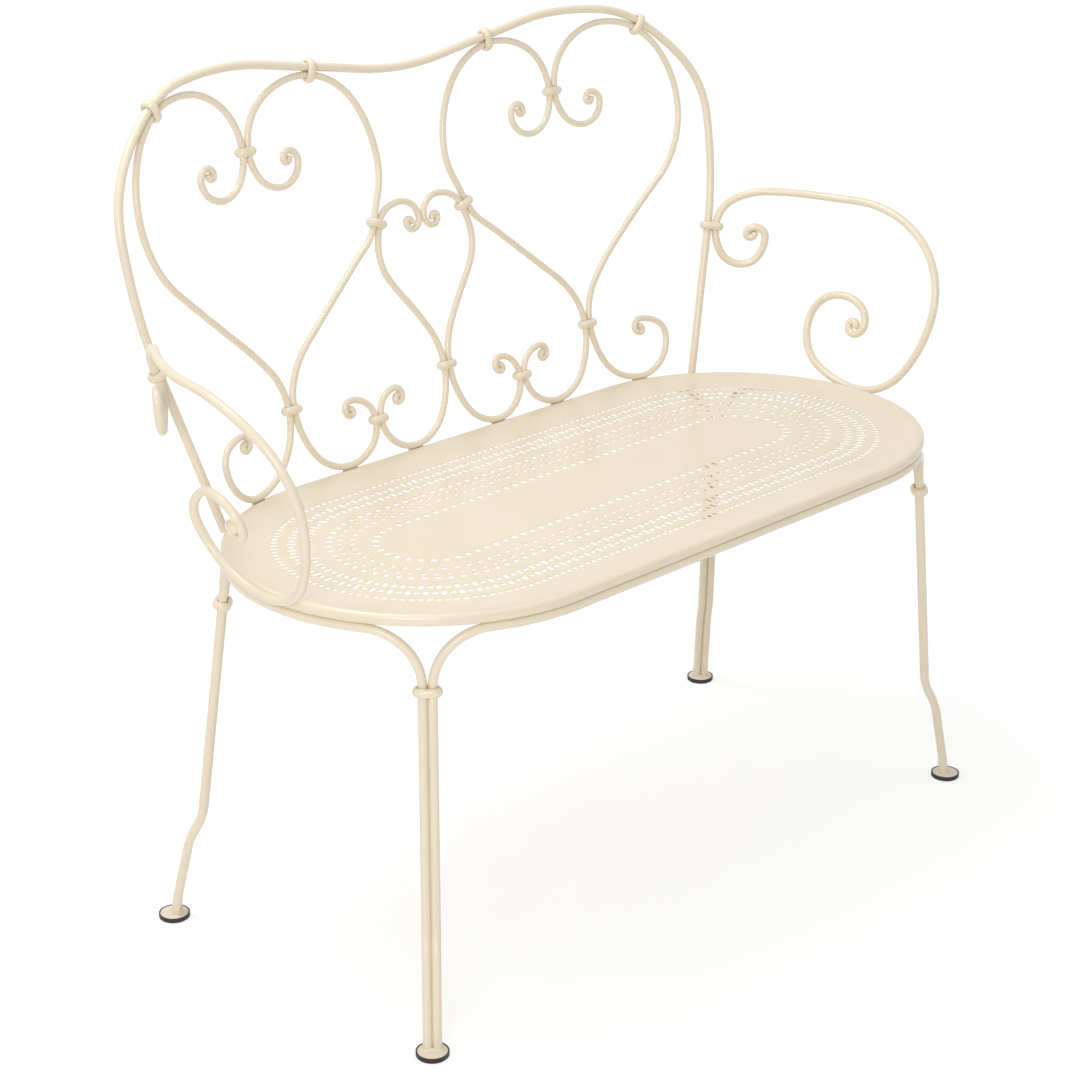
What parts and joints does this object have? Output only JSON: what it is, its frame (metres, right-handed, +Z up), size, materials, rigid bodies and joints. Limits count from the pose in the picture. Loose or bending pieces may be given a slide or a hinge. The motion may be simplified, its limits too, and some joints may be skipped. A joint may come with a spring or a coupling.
{
  "type": "garden bench",
  "caption": "Free-standing two-seat bench of bent steel rod: perforated sheet seat with rounded ends, heart-scroll back, scrolled arms and splayed double-rod legs on plastic glides.",
  "frame": {"origin": "on the floor, midway between the bench's ends and between its front and back", "axes": "+X along the bench, to the right as seen from its front; +Y from the front edge of the seat to the back; +Z up"},
  "size_m": [1.0346, 0.5196, 0.8922],
  "materials": {
    "cream_coat": "satin cream powder coat",
    "black_glide": "black moulded plastic"
  },
  "bodies": {
    "root": {"arm_left": "cream_coat", "arm_right": "cream_coat", "back_frame": "cream_coat", "collar_arm_left": "cream_coat", "collar_arm_right": "cream_coat", "collar_heart_foot_left": "cream_coat", "collar_heart_foot_right": "cream_coat", "collar_leg_back_left": "cream_coat", "collar_leg_back_right": "cream_coat", "collar_leg_front_left": "cream_coat", "collar_leg_front_right": "cream_coat", "collar_middle": "cream_coat", "collar_notch_left": "cream_coat", "collar_notch_right": "cream_coat", "collar_pair_left": "cream_coat", "collar_pair_right": "cream_coat", "collar_side_left": "cream_coat", "collar_side_right": "cream_coat", "collar_top_inner_left": "cream_coat", "collar_top_inner_right": "cream_coat", "collar_top_outer_left": "cream_coat", "collar_top_outer_right": "cream_coat", "foot_disc_back_left": "cream_coat", "foot_disc_back_right": "cream_coat", "foot_disc_front_left": "cream_coat", "foot_disc_front_right": "cream_coat", "glide_back_left": "black_glide", "glide_back_right": "black_glide", "glide_front_left": "black_glide", "glide_front_right": "black_glide", "heart_inner_left": "cream_coat", "heart_inner_right": "cream_coat", "heart_outer_left": "cream_coat", "heart_outer_right": "cream_coat", "leg_rail_back": "cream_coat", "leg_rail_front": "cream_coat", "leg_rail_left": "cream_coat", "leg_rail_right": "cream_coat", "seat_panel": "cream_coat", "small_heart_left": "cream_coat", "small_heart_right": "cream_coat"}
  },
  "joints": []
}
